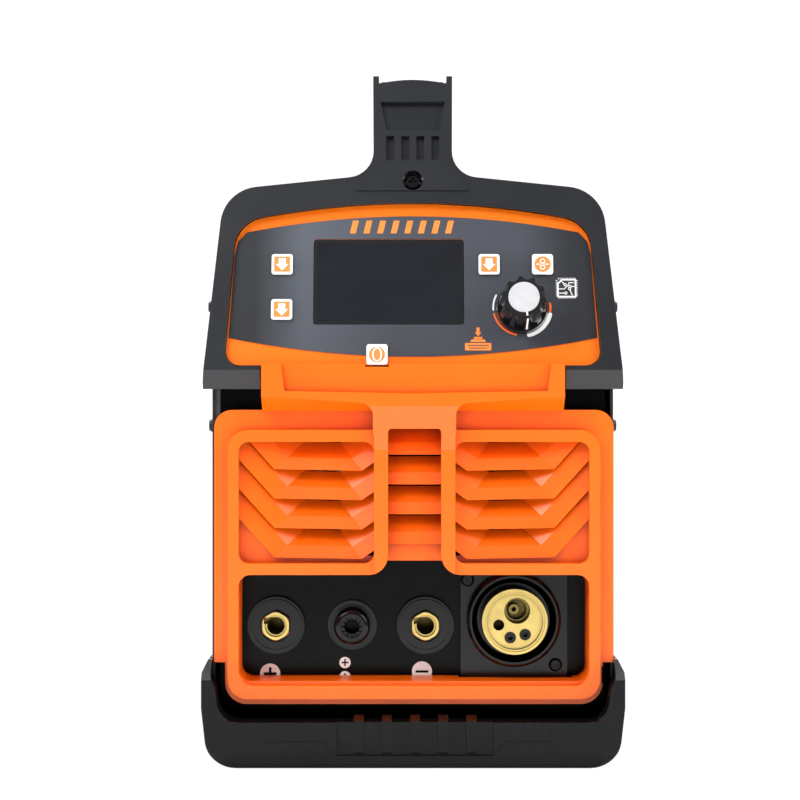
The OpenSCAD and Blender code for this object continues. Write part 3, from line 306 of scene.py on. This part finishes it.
ORANGE = srgb(250, 104, 4)
BLACK = srgb(25, 27, 31)
M = {
    # Orange shell: painted shade in its crevices
    "orange": moulded("orange_shell", ORANGE, 0.3, spread=0.04, specular=0.45, reach=0.01, floor=0.5),
    # A lighter, yellower copy of the shell orange: painted light on the upward-facing control panel
    "lit_orange_panel": moulded("lit_orange_panel", srgb(252, 116, 4), 0.32, spread=0.04, specular=0.4),
    "black": moulded("black_shell", BLACK, 0.3, grain=0.0005, depth=0.00004, spread=0.1),
    # Bumper: painted shade in its crevices
    "bumper": moulded("bumper_black", srgb(6, 7, 8), 0.28, grain=0.0005, depth=0.00003, spread=0.1,
                      specular=0.2, reach=0.01),
    "grip": moulded("grip_black", srgb(12, 13, 15), 0.3, grain=0.0005, depth=0.00004, spread=0.1,
                    specular=0.35),
    "panel": moulded("socket_black", srgb(5, 5, 6), 0.24, grain=0.0005, depth=0.00001, spread=0.1,
                     specular=0.12),
    "inner": moulded("inner_black", srgb(6, 6, 7), 0.16, grain=0.0004, depth=0.000006, spread=0.1,
                     specular=0.3),
    "cover": powder_coat("cover_paint", srgb(20, 20, 22), 0.36),
    "film": label_film("label_film"),
    "glass": screen_glass("screen_glass"),
    "white": moulded("key_white", srgb(238, 238, 236), 0.36, spread=0.02),
    "knob": moulded("knob_black", srgb(7, 7, 8), 0.16, depth=0.000008, spread=0.1, coat=0.6),
    "silver": spun_cap("cap_silver", srgb(236, 236, 239), 0.3),
    # Brass: painted shade in its bores and crevices
    "brass": metal("brass", srgb(216, 190, 116), 0.2, lines=(1, 14, 1), size=0.004, depth=0.00002,
                   reach=0.012),
    "steel": metal("steel", srgb(168, 170, 172), 0.34, lines=(1, 1, 20), size=0.002),
    "screw": metal("blackened_screw", srgb(44, 44, 46), 0.28, size=0.0008),
    "aluminium": metal("aluminium", srgb(196, 199, 203), 0.36, lines=(1, 12, 1), size=0.002),
    "rubber": moulded("rubber", srgb(22, 22, 23), 0.7, grain=0.0008, depth=0.00005, specular=0.3),
    "board": circuit_board("board_green", srgb(22, 92, 56)),
    "wire": windings("copper_wire", srgb(206, 138, 92), (900, 0, 0)),
    "coil": windings("coil_windings", srgb(190, 104, 56), (0, 500, 0), 0.7),
    "blue": moulded("capacitor_blue", srgb(26, 44, 92), 0.3),
    "red": moulded("rocker_red", srgb(186, 26, 20), 0.28),
}

LOOK = {
    "orange": ["front_grille"],
    "lit_orange_panel": ["control_panel"],
    "black": ["control_bezel", "rear_cover"],
    "grip": ["handle_grip"],
    "bumper": ["front_bumper", "rear_bumper"],
    "panel": ["socket_panel"],
    "cover": ["case_cover", "side_door", "rear_panel", "base_plate"],
    "film": ["panel_label"],
    "glass": ["display_window"],
    "white": ["upper_left_button", "lower_left_button", "upper_right_button", "wire_feed_button",
              "lower_button"],
    "knob": ["setting_knob"],
    "silver": ["knob_cap"],
    "brass": ["positive_contact", "negative_contact", "torch_socket", "gas_inlet", "gas_valve",
              "tension_screw"],
    "steel": ["door_hinges", "divider_plate", "feed_motor", "drive_roll", "pressure_roll", "knob_encoder"],
    "screw": ["case_screws"],
    "aluminium": ["feed_base", "heat_sinks"],
    "rubber": ["feet"],
    "board": ["control_board", "power_board"],
    "wire": ["spool_wire"],
    "coil": ["transformer", "output_choke"],
    "blue": ["capacitors"],
    "red": ["switch_rocker"],
    "inner": ["display_module", "positive_socket", "negative_socket", "lead_gland", "torch_flange",
              "torch_pins", "front_latch", "rear_latch", "pressure_arm", "spool_hub", "wire_spool",
              "spool_nut", "fan_frame", "fan_rotor", "power_switch", "supply_gland"],
}

# --- Edges ----------------------------------------------------------------------------------
# Rounding of each node's edges in millimetres; the rest get the default

EDGE = {"control_bezel": 1.2, "rear_cover": 1.2, "front_bumper": 1.4, "rear_bumper": 1.4, "handle_grip": 1.4,
        "front_grille": 0.9, "control_panel": 0.6, "setting_knob": 0.5, "feet": 0.8, "torch_flange": 0.8,
        "lead_gland": 0.3, "positive_socket": 0.5, "negative_socket": 0.5, "torch_socket": 0.35,
        "positive_contact": 0.3, "negative_contact": 0.3, "case_screws": 0.2, "panel_label": 0.0,
        "display_window": 0.1, "power_board": 0.0, "control_board": 0.0, "heat_sinks": 0.2, "knob_cap": 0.2,
        "torch_pins": 0.25, "spool_wire": 0.0, "door_hinges": 0.15, "knob_encoder": 0.0}


def round_edges(obj, width):
    for poly in obj.data.polygons:
        poly.use_smooth = True
    flat = obj.modifiers.new("join_flats", "DECIMATE")
    flat.decimate_type = "DISSOLVE"
    flat.angle_limit = FLAT
    bevel = obj.modifiers.new("round_edges", "BEVEL")
    bevel.width = width * MM
    bevel.segments = 2 if width < FINE_EDGE else 3
    bevel.limit_method = "ANGLE"
    bevel.angle_limit = SHARP
    bevel.harden_normals = True
    bevel.miter_outer = "MITER_ARC"


for look, names in LOOK.items():
    for name in names:
        node = NODES[name]
        node.data.materials.clear()
        node.data.materials.append(M[look])
for name, node in NODES.items():
    edge = EDGE.get(name, DEFAULT_EDGE)
    if edge:
        round_edges(node, edge)

# --- Printed marks --------------------------------------------------------------------------
# Flat outlines in millimetres, x to the right and y up, filled as curves and turned into thin closed meshes

def circle(x, y, r, ry=None, n=40):
    ry = ry or r
    return [(x + r * math.cos(t), y + ry * math.sin(t)) for t in (math.tau * i / n for i in range(n))]


def box2(x0, y0, x1, y1):
    return [(x0, y0), (x1, y0), (x1, y1), (x0, y1)]


def soft_box(x, y, w, h, r):
    corners = ((1, 1, 0), (-1, 1, 90), (-1, -1, 180), (1, -1, 270))
    return [(x + sx * (w / 2 - r) + r * math.cos(math.radians(a + 15 * k)),
             y + sy * (h / 2 - r) + r * math.sin(math.radians(a + 15 * k)))
            for sx, sy, a in corners for k in range(7)]


def arc_band(x, y, r, width, a0, a1):
    """Band along an arc, in degrees anticlockwise from +x, with round ends."""
    steps = max(6, int(abs(a1 - a0) / 4))
    sweep = [math.radians(a0 + (a1 - a0) * i / steps) for i in range(steps + 1)]
    half = width / 2
    turn = 1 if a1 > a0 else -1

    def end(a, start):
        cx, cy = x + r * math.cos(a), y + r * math.sin(a)
        return [(cx + half * math.cos(a + start + turn * math.pi * k / 6),
                 cy + half * math.sin(a + start + turn * math.pi * k / 6)) for k in range(1, 6)]
    outer = [(x + (r + half) * math.cos(a), y + (r + half) * math.sin(a)) for a in sweep]
    inner = [(x + (r - half) * math.cos(a), y + (r - half) * math.sin(a)) for a in reversed(sweep)]
    return outer + end(sweep[-1], 0) + inner + end(sweep[0], math.pi)


def stroke(points, width):
    """Straight pen strokes as separate thin boxes."""
    shapes = []
    for (x0, y0), (x1, y1) in zip(points, points[1:]):
        length = math.hypot(x1 - x0, y1 - y0)
        ux, uy = (x1 - x0) / length, (y1 - y0) / length
        px, py = -uy * width / 2, ux * width / 2
        ex, ey = ux * width / 2, uy * width / 2
        shapes.append([(x0 + px - ex, y0 + py - ey), (x0 - px - ex, y0 - py - ey),
                       (x1 - px + ex, y1 - py + ey), (x1 + px + ex, y1 + py + ey)])
    return shapes


def printed(name, layers, place, material, body, thick=INK_THICK):
    """One mesh from groups of outlines; in a group, an outline inside another is a hole."""
    meshes = []
    for shapes in layers:
        curve = bpy.data.curves.new(name, "CURVE")
        curve.dimensions = "2D"
        curve.fill_mode = "BOTH"
        curve.extrude = thick / 2 * MM
        for shape in shapes:
            spline = curve.splines.new("POLY")
            spline.points.add(len(shape) - 1)
            for point, (x, y) in zip(spline.points, shape):
                point.co = (x * MM, y * MM, thick / 2 * MM, 1)
            spline.use_cyclic_u = True
        holder = bpy.data.objects.new(name, curve)
        meshes.append(bpy.data.meshes.new_from_object(holder))
        bpy.data.objects.remove(holder)
    bm = bmesh.new()
    for mesh in meshes:
        bm.from_mesh(mesh)
    bmesh.ops.remove_doubles(bm, verts=bm.verts, dist=1e-6)
    bm.transform(place)
    return add_piece(name, bm, material, body)


def add_piece(name, bm, material, body):
    """Flat-shaded piece made from bm, riding on a body."""
    mesh = bpy.data.meshes.new(name)
    bmesh.ops.recalc_face_normals(bm, faces=bm.faces)
    bm.to_mesh(mesh)
    bm.free()
    mesh.materials.append(material)
    for poly in mesh.polygons:
        poly.use_smooth = False
    obj = bpy.data.objects.new(name, mesh)
    bpy.context.collection.objects.link(obj)
    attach(obj, body)
    return obj


RIGHT = Vector((1, 0, 0))
UP_FACE = Vector((0, math.sin(TILT), math.cos(TILT)))
OUT_FACE = Vector((0, -math.cos(TILT), math.sin(TILT)))
label_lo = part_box("panel_label")[0]


def frame_at(origin, right, up, out):
    place = Matrix((right, up, out)).transposed().to_4x4()
    place.translation = origin
    return place


def face_place(x, z, lift=INK_LIFT):
    """Local frame on the label at width x and height z, in millimetres."""
    y = label_lo.y + (z * MM - label_lo.z) * math.tan(TILT)
    origin = Vector((x * MM, y, z * MM)) + OUT_FACE * lift * MM
    return frame_at(origin, RIGHT, UP_FACE, OUT_FACE)


def key_place(node):
    """Local frame on the front of a key: the cap's face centre."""
    a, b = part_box(node)
    points = [v.co for v in NODES[node].data.vertices]
    front = max(v.dot(OUT_FACE) for v in points)
    rise = [v.dot(UP_FACE) for v in points if v.dot(OUT_FACE) > front - 0.1 * MM]
    origin = (Vector(((a.x + b.x) / 2, 0, 0)) + UP_FACE * (max(rise) + min(rise)) / 2
              + OUT_FACE * (front + INK_LIFT * MM))
    return frame_at(origin, RIGHT, UP_FACE, OUT_FACE)


WHITE_INK = ink("white_ink", srgb(240, 240, 240))
ORANGE_INK = ink("orange_ink", srgb(240, 134, 54))
BLACK_INK = ink("black_ink", srgb(8, 9, 11), 0.3)
DEEP_INK = ink("deep_orange_ink", srgb(250, 104, 22))

arrow = [(-1.8, 3.1), (-1.8, 0.1), (-3.3, 0.1), (0, -3.3), (3.3, 0.1), (1.8, 0.1), (1.8, 3.1)]
for node, body in (("upper_left_button", "button_upper_left"), ("lower_left_button", "button_lower_left"),
                   ("upper_right_button", "button_upper_right")):
    printed(node + "_arrow", [[soft_box(0, 0, 8.0, 8.0, 0.5), arrow]], key_place(node), ORANGE_INK, body)

spool = [[circle(0, 0, 4.1), circle(0, 1.6, 1.4), circle(0, -1.6, 1.4), box2(-3.4, -0.3, -1.0, 0.3),
          box2(1.0, -0.3, 3.4, 0.3)], [circle(0, 1.6, 0.8)], [circle(0, -1.6, 0.8)]]
printed("wire_feed_mark", spool, key_place("wire_feed_button"), ORANGE_INK, "button_wire_feed")
ring = [[circle(0, 0, 4.0), circle(0, 0, 2.55, 3.7)], [circle(0, 0, 1.7, 2.9)]]
printed("lower_key_mark", ring, key_place("lower_button"), ORANGE_INK, "button_lower")

# Scale round the knob: o'clock directions as degrees from 3 o'clock
scale = face_place(KNOB_X, KNOB_Z)
printed("knob_scale_white", [[arc_band(0, 0, 14.6, 2.1, -76, -14)], [arc_band(0, 0, 14.4, 0.8, 153, 184)]],
        scale, WHITE_INK, "welder")
printed("knob_scale_orange", [[arc_band(0, 0, 14.4, 0.8, -167, -102)], [arc_band(0, 0, 14.4, 1.1, -8, 9)]],
        scale, DEEP_INK, "welder")

# Chip outline with teeth and tracks
side = 4.75
teeth = []
for t in (-4.05 + i * 0.9 for i in range(10)):
    for turn in range(4):
        cos, sin = ((1, 0), (0, 1), (-1, 0), (0, -1))[turn]
        teeth.append([(x * cos - y * sin, x * sin + y * cos)
                      for x, y in ((t - 0.3, side - 0.1), (t + 0.3, side - 0.1), (t, side + 0.95))])
shell = [[(-side, -side), (side, -side), (side, side), (-side + 2.2, side), (-side, side - 2.2)],
         [(-side + 0.7, -side + 0.7), (side - 0.7, -side + 0.7), (side - 0.7, side - 0.7),
          (-side + 2.5, side - 0.7), (-side + 0.7, side - 2.5)]]
tracks = stroke([(-3.7, -0.4), (-1.3, -0.4), (0.6, 1.4), (1.2, 2.9), (3.4, 2.9)], 0.45)
tracks += stroke([(-3.7, -2.6), (-1.2, -2.6)], 0.45) + stroke([(1.6, -0.9), (2.7, -3.6)], 0.45)
tracks += stroke([(-2.4, 3.4), (-1.3, 2.3)], 0.45) + stroke([(2.4, 0.9), (3.7, 0.9)], 0.45)
dots = [[circle(x, y, 0.8, n=20), circle(x, y, 0.4, n=20)]
        for x, y in ((-0.5, -2.6), (1.4, -0.3), (-0.8, 1.8), (1.7, 0.9))]
printed("chip_mark", [shell] + [[t] for t in teeth + tracks] + dots, face_place(77.6, 239.4), WHITE_INK,
        "welder")

# Weld-pool mark: torch tip over a stepped bead, on a slotted bar
bead = [[box2(-0.8, 7.2, 0.8, 9.6)], [[(-1.7, 7.1), (0, 5.0), (1.7, 7.1)]], [box2(-2.1, 3.6, 2.1, 4.7)],
        [[(-4.0, 2.1), (4.0, 2.1), (3.2, 3.4), (-3.2, 3.4)]],
        [soft_box(0, -0.4, 13.2, 3.9, 0.5), soft_box(0, 0.3, 10.6, 0.5, 0.2),
         soft_box(0, -1.1, 9.0, 0.5, 0.2)]]
printed("weld_mark", bead, face_place(32.7, 210.1), ORANGE_INK, "welder")

# Eight slanted stripes where a title would be
stripes = [[[(x - 2.3, -3.4), (x + 0.7, -3.4), (x + 2.3, 3.4), (x - 0.7, 3.4)]]
           for x in (-5.5 + (i - 3.5) * 6.9 for i in range(8))]
printed("title_stripes", stripes, face_place(0, 270.8), ORANGE_INK, "welder")

# Black border round the edge of the screen: partly its dark frame, partly painted shade on the bevel of its
# recess
printed("screen_border", [[soft_box(0, 0, 75.2, 44.2, 1.4), soft_box(0, 0, 72.6, 41.6, 0.8)]],
        key_place("display_window"), BLACK_INK, "welder")

# Polarity marks on the socket panel
panel_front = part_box("socket_panel")[0].y


def panel_place(x, z):
    """Local frame on the socket panel at width x and height z, in millimetres."""
    origin = Vector((x * MM, panel_front - INK_LIFT * MM, z * MM))
    return frame_at(origin, RIGHT, Vector((0, 0, 1)), Vector((0, -1, 0)))


def cross(arm, half):
    return [(half, arm), (half, half), (arm, half), (arm, -half), (half, -half), (half, -arm),
            (-half, -arm), (-half, -half), (-arm, -half), (-arm, half), (-half, half), (-half, arm)]


for name, x, z, r, hole in (("positive_mark", -73.3, 42.2, 5.2, cross(3.3, 0.7)),
                            ("signal_mark", -34.8, 47.9, 2.9, cross(1.8, 0.4)),
                            ("signal_mark_low", -34.8, 40.6, 2.9, cross(1.8, 0.4)),
                            ("negative_mark", 4.8, 43.3, 5.2, box2(-3.3, -0.6, 3.3, 0.6))):
    printed(name, [[circle(0, 0, r), hole]], panel_place(x, z), WHITE_INK, "welder")

# Pointer line painted over the knob's crown and down its fluted side
knob_axis = face_place(KNOB_X, KNOB_Z, 0)
to_knob = knob_axis.inverted()
knob_top = max((to_knob @ v.co).z for v in NODES["setting_knob"].data.vertices)
along = Vector((math.cos(POINTER_ANGLE), math.sin(POINTER_ANGLE), 0))
across = Vector((-math.sin(POINTER_ANGLE), math.cos(POINTER_ANGLE), 0))


def knob_skin(start, direction):
    """Point on the knob met from start going in direction, both in the knob's own frame."""
    hit, point = NODES["setting_knob"].ray_cast(knob_axis @ start, knob_axis.to_3x3() @ direction)[:2]
    return to_knob @ point if hit else None


bm = bmesh.new()
rows = []
lines = [(along * r * MM + Vector((0, 0, knob_top)), Vector((0, 0, 1))) for r in (8.0, 9.2, 10.3)]
for drop in (1.0, 2.5, 4.5, 7, 9.5, 12, 14.5, 16.5):
    start = along * 0.03 + Vector((0, 0, knob_top - drop * MM))
    hits = [knob_skin(start + across * s * POINTER_HALF, -along) for s in (-1, 0, 1)]
    if None not in hits:
        lines.append((along * max(h.dot(along) for h in hits) + Vector((0, 0, start.z)), along))
for centre, away in lines:
    low, high = (centre + away * skin for skin in POINTER_SKIN)
    rows.append([bm.verts.new(v) for v in (low - across * POINTER_HALF, low + across * POINTER_HALF,
                                           high + across * POINTER_HALF, high - across * POINTER_HALF)])
for a, b in zip(rows, rows[1:]):
    for k in range(4):
        bm.faces.new((a[k], a[(k + 1) % 4], b[(k + 1) % 4], b[k]))
bm.faces.new(rows[0])
bm.faces.new(rows[-1][::-1])
bm.transform(knob_axis)
add_piece("knob_pointer", bm, WHITE_INK, "knob")

# --- Web under the middle louvers ------------------------------------------------------------

WEB_LO, WEB_HI = (-12.9, 18.5, 102.0), (14.6, 20.5, 112.0)  # depth counts from the grille's front


def grille_web():
    """Orange web that closes the gap below the lowest middle louver."""
    front = Vector((0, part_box("front_grille")[0].y, 0))
    lo, hi = Vector(WEB_LO) * MM + front, Vector(WEB_HI) * MM + front
    bm = bmesh.new()
    bmesh.ops.create_cube(bm, size=1.0)
    for vert in bm.verts:
        vert.co = Vector([lo[i] + (vert.co[i] + 0.5) * (hi[i] - lo[i]) for i in range(3)])
    return bm


add_piece("grille_web", grille_web(), M["orange"], "welder")

# --- Stage ----------------------------------------------------------------------------------

floor_z = cad_box[0].z


def sweep():
    """White paper sweep: floor, curved rise and back wall."""
    bm = bmesh.new()
    path = [(-5.0, 0.0), (2.0, 0.0)]
    rise = [math.radians(a) for a in range(6, 91, 6)]
    path += [(2.0 + 1.5 * math.sin(a), 1.5 - 1.5 * math.cos(a)) for a in rise]
    path += [(3.5, 6.0)]
    rows = [[bm.verts.new((x, y, floor_z + z)) for x in (-7.0, 7.0)] for y, z in path]
    for a, b in zip(rows, rows[1:]):
        bm.faces.new((a[0], a[1], b[1], b[0]))
    mesh = bpy.data.meshes.new("paper_sweep")
    bm.to_mesh(mesh)
    bm.free()
    for poly in mesh.polygons:
        poly.use_smooth = True
    obj = bpy.data.objects.new("paper_sweep", mesh)
    bpy.context.collection.objects.link(obj)
    g = Graph("paper_white")
    g.link(g.ramp(g.noise(0.4, 3), [(0.3, (0.86, 0.86, 0.86, 1)), (0.7, (0.89, 0.89, 0.89, 1))]),
           g.bsdf.inputs["Base Color"])
    g.set(Roughness=0.7, Specular_IOR_Level=0.2)
    # Most of what the camera sees is plain white, as on a burnt-out backdrop; the rest takes soft shadows
    rays, glow = g.add("ShaderNodeLightPath"), g.add("ShaderNodeEmission")
    share, burn = g.add("ShaderNodeMath", operation="MULTIPLY"), g.add("ShaderNodeMixShader")
    share.inputs[1].default_value = PAPER_BURN
    g.link(rays.outputs["Is Camera Ray"], share.inputs[0])
    g.link(share.outputs["Value"], burn.inputs["Fac"])
    g.link(g.bsdf.outputs["BSDF"], burn.inputs[1])
    g.link(glow.outputs["Emission"], burn.inputs[2])
    g.link(burn.outputs["Shader"], g.out.inputs["Surface"])
    mesh.materials.append(g.mat)


def studio_world():
    """White to the camera; to the object bright overhead and dim at eye level."""
    world = bpy.data.worlds.new("studio")
    bpy.context.scene.world = world
    world.use_nodes = True
    tree = world.node_tree
    tree.nodes.clear()
    new, link = tree.nodes.new, tree.links.new
    out, back, coords = new("ShaderNodeOutputWorld"), new("ShaderNodeBackground"), new("ShaderNodeTexCoord")
    split, ramp, rays, mix = (new("ShaderNodeSeparateXYZ"), new("ShaderNodeValToRGB"),
                              new("ShaderNodeLightPath"), new("ShaderNodeMix"))
    link(coords.outputs["Generated"], split.inputs["Vector"])
    link(split.outputs["Z"], ramp.inputs["Fac"])
    stops = [(0.0, 0.1), (0.2, 0.15), (0.5, 0.4), (0.85, 0.75)]
    while len(ramp.color_ramp.elements) < len(stops):
        ramp.color_ramp.elements.new(0.5)
    for element, (at, level) in zip(ramp.color_ramp.elements, stops):
        element.position = at
        element.color = (level, level, level, 1)
    mix.data_type = "RGBA"
    link(rays.outputs["Is Camera Ray"], mix.inputs[0])
    link(ramp.outputs["Color"], mix.inputs[6])
    mix.inputs[7].default_value = (1, 1, 1, 1)
    link(mix.outputs[2], back.inputs["Color"])
    link(back.outputs["Background"], out.inputs["Surface"])


def softbox(name, place, aim, size, power):
    light = bpy.data.lights.new(name, "AREA")
    light.shape = "RECTANGLE"
    light.size, light.size_y = size
    light.energy = power
    obj = bpy.data.objects.new(name, light)
    bpy.context.collection.objects.link(obj)
    obj.location = place
    obj.rotation_euler = (Vector(aim) - Vector(place)).to_track_quat("-Z", "Y").to_euler()


sweep()
studio_world()
bpy.context.scene.view_settings.view_transform = "Standard"
middle = (0, -0.15, 0.17)
softbox("key", (-0.95, -1.35, 1.35), middle, (0.8, 0.8), 18)
softbox("fill", (1.25, -1.25, 0.9), middle, (0.7, 0.9), 10)
softbox("top", (0, 0.0, 1.5), middle, (0.9, 0.9), 13)
softbox("strip_left", (-1.3, -0.35, 0.35), (0, -0.2, 0.2), (0.18, 1.3), 17)
softbox("strip_right", (1.3, -0.35, 0.35), (0, -0.2, 0.2), (0.18, 1.3), 17)
softbox("wall_left", (-2.2, 1.6, 2.6), (0, 3.5, 0.8), (1.5, 1.5), 120)
softbox("wall_right", (2.2, 1.6, 2.6), (0, 3.5, 0.8), (1.5, 1.5), 120)

camera_data = bpy.data.cameras.new("camera")
camera = bpy.data.objects.new("camera", camera_data)
bpy.context.collection.objects.link(camera)
camera.location = CAMERA_AT
camera.rotation_euler = (math.radians(90), 0, 0)
camera_data.sensor_width = SENSOR
camera_data.lens = LENS
bpy.context.scene.camera = camera
